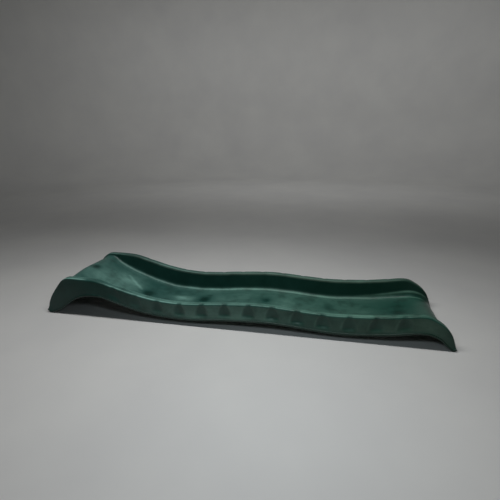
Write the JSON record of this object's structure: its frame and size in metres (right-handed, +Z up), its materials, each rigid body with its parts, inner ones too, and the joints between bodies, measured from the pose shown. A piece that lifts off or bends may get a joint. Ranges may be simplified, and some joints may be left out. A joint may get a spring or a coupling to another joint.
{
  "type": "wave playground slide",
  "caption": "Moulded plastic wave slide for a play deck: a rippled chute between side walls with rounded rims, a down-turned deck flange and a down-turned exit nose.",
  "frame": {"origin": "middle of the slide's footprint, on the ground that it lies on", "axes": "+X along the chute from the deck end to the exit end, +Y across it to the left of a child sliding down, +Z up"},
  "size_m": [2.364, 0.528, 0.2412],
  "materials": {
    "bed_plastic": "green moulded polyethylene, dulled and scuffed by use",
    "wall_plastic": "darker green moulded polyethylene with a satin gloss, dusty on the rims"
  },
  "bodies": {
    "root": {"bed_deck_flange": "bed_plastic", "bed_entry_crown": "bed_plastic", "bed_first_drop": "bed_plastic", "bed_first_slope": "bed_plastic", "bed_first_dip": "bed_plastic", "bed_middle_rise": "bed_plastic", "bed_middle_crest": "bed_plastic", "bed_middle_fall": "bed_plastic", "bed_second_dip": "bed_plastic", "bed_exit_rise": "bed_plastic", "bed_exit_crest": "bed_plastic", "bed_exit_nose": "bed_plastic", "bed_exit_foot": "bed_plastic", "left_wall_deck_flange": "wall_plastic", "left_wall_entry_crown": "wall_plastic", "left_wall_first_drop": "wall_plastic", "left_wall_first_slope": "wall_plastic", "left_wall_first_dip": "wall_plastic", "left_wall_middle_rise": "wall_plastic", "left_wall_middle_crest": "wall_plastic", "left_wall_middle_fall": "wall_plastic", "left_wall_second_dip": "wall_plastic", "left_wall_exit_rise": "wall_plastic", "left_wall_exit_crest": "wall_plastic", "left_wall_exit_nose": "wall_plastic", "left_wall_exit_foot": "wall_plastic", "right_wall_deck_flange": "wall_plastic", "right_wall_entry_crown": "wall_plastic", "right_wall_first_drop": "wall_plastic", "right_wall_first_slope": "wall_plastic", "right_wall_first_dip": "wall_plastic", "right_wall_middle_rise": "wall_plastic", "right_wall_middle_crest": "wall_plastic", "right_wall_middle_fall": "wall_plastic", "right_wall_second_dip": "wall_plastic", "right_wall_exit_rise": "wall_plastic", "right_wall_exit_crest": "wall_plastic", "right_wall_exit_nose": "wall_plastic", "right_wall_exit_foot": "wall_plastic"}
  },
  "joints": []
}
